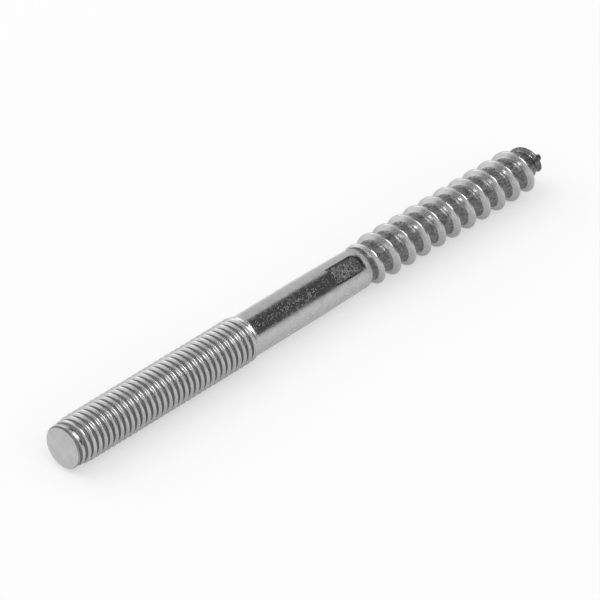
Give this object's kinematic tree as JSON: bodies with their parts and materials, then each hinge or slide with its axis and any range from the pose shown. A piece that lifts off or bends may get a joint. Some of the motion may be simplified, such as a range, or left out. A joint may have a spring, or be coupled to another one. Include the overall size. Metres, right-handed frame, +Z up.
{
  "type": "hanger bolt",
  "caption": "Steel hanger bolt: a metric machine thread at one end, a plain shank with a pressed pocket, and a coarse wood thread with a blunt point at the other.",
  "frame": {"origin": "centre of the bolt's footprint, on the surface it lies on", "axes": "+X along the bolt from the cut face of the metric thread to the wood point, +Z up from the surface it lies on"},
  "size_m": [0.139, 0.01, 0.0101],
  "materials": {
    "zinc_steel": "bright zinc plating on cold-rolled steel, dull on the cut face and dark on the point"
  },
  "bodies": {
    "root": {"hanger_bolt": "zinc_steel"}
  },
  "joints": []
}
